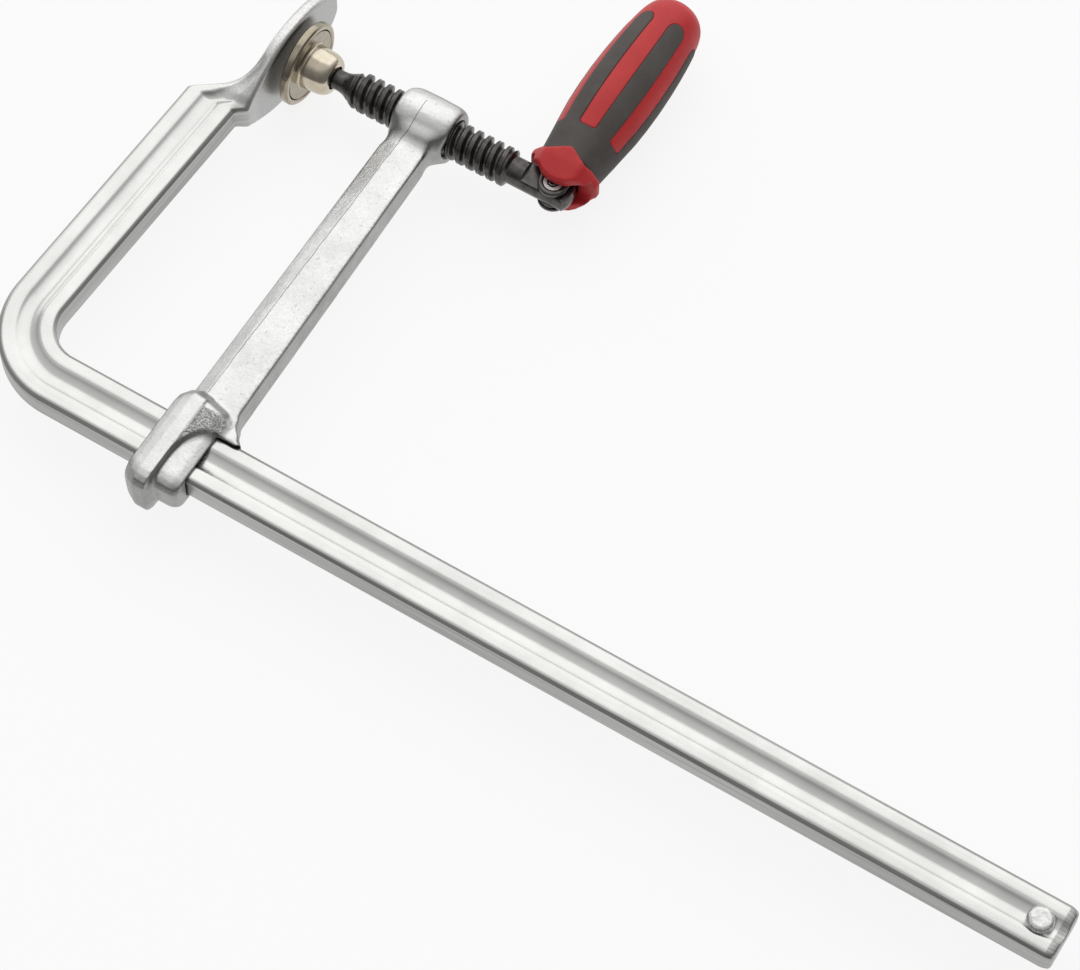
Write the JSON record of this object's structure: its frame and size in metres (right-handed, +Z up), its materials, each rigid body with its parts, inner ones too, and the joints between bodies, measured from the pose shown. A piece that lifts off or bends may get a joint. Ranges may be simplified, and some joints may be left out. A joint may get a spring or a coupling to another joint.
{
  "type": "bar clamp",
  "caption": "All-steel bar clamp with a grooved rail, a forged sliding arm, a screw spindle with a swivel pad, and a two-colour handle that folds on a hinge pin.",
  "frame": {"origin": "centre of the fixed jaw's clamping face, on the spindle's axis", "axes": "+X along the rail and the spindle away from the fixed jaw, +Y from the rail out to the spindle, +Z up off the surface the clamp lies on"},
  "size_m": [0.5056, 0.3219, 0.041],
  "materials": {
    "bright_zinc": "satin bright plating over a hot-rolled grooved bar",
    "zinc_on_forging": "satin bright plating over a drop forging with a parting line",
    "black_oxide": "oiled black oxide",
    "warm_nickel": "satin with a warm tint",
    "bare_steel": "turned",
    "red_plastic": "satin moulding",
    "soft_grip": "matt soft-touch overmould"
  },
  "bodies": {
    "rail": {"rail_bar": "bright_zinc", "end_stop_rivet": "bright_zinc"},
    "arm": {"sliding_arm": "zinc_on_forging"},
    "thrust_ring": {"retaining_ring": "bare_steel"},
    "screw": {"spindle": "black_oxide"},
    "swivel_pad": {"pressure_plate": "warm_nickel", "ball_socket": "warm_nickel"},
    "handle": {"handle_clevis": "black_oxide", "hinge_pin": "bare_steel", "hinge_sleeve": "black_oxide", "hinge_inner_pin": "bare_steel", "friction_washer_upper": "bare_steel", "friction_washer_lower": "bare_steel", "handle_core": "red_plastic", "handle_grip": "soft_grip"}
  },
  "joints": [
    {"name": "arm_slide", "type": "slide", "parent": "rail", "child": "arm", "axis": [1, 0, 0], "range_m": [0, 0.376]},
    {"name": "spindle_feed", "type": "slide", "parent": "arm", "child": "thrust_ring", "axis": [1, 0, 0], "range_m": [0, 0.032]},
    {"name": "spindle_turn", "type": "hinge", "parent": "thrust_ring", "child": "screw", "pos_m": [0.06, 0, 0], "axis": [1, 0, 0], "range_deg": [0, 2304]},
    {"name": "pad_tilt", "type": "hinge", "parent": "thrust_ring", "child": "swivel_pad", "pos_m": [0.012, 0, 0], "axis": [0, 0, 1], "range_deg": [-5, 5]},
    {"name": "handle_fold", "type": "hinge", "parent": "screw", "child": "handle", "pos_m": [0.1293, 0, 0], "axis": [0, 0, 1], "range_deg": [-180, 0]}
  ],
  "couplings": [
    {"joint": "spindle_turn", "follows": "spindle_feed", "rad_per_m": 1256.6}
  ]
}
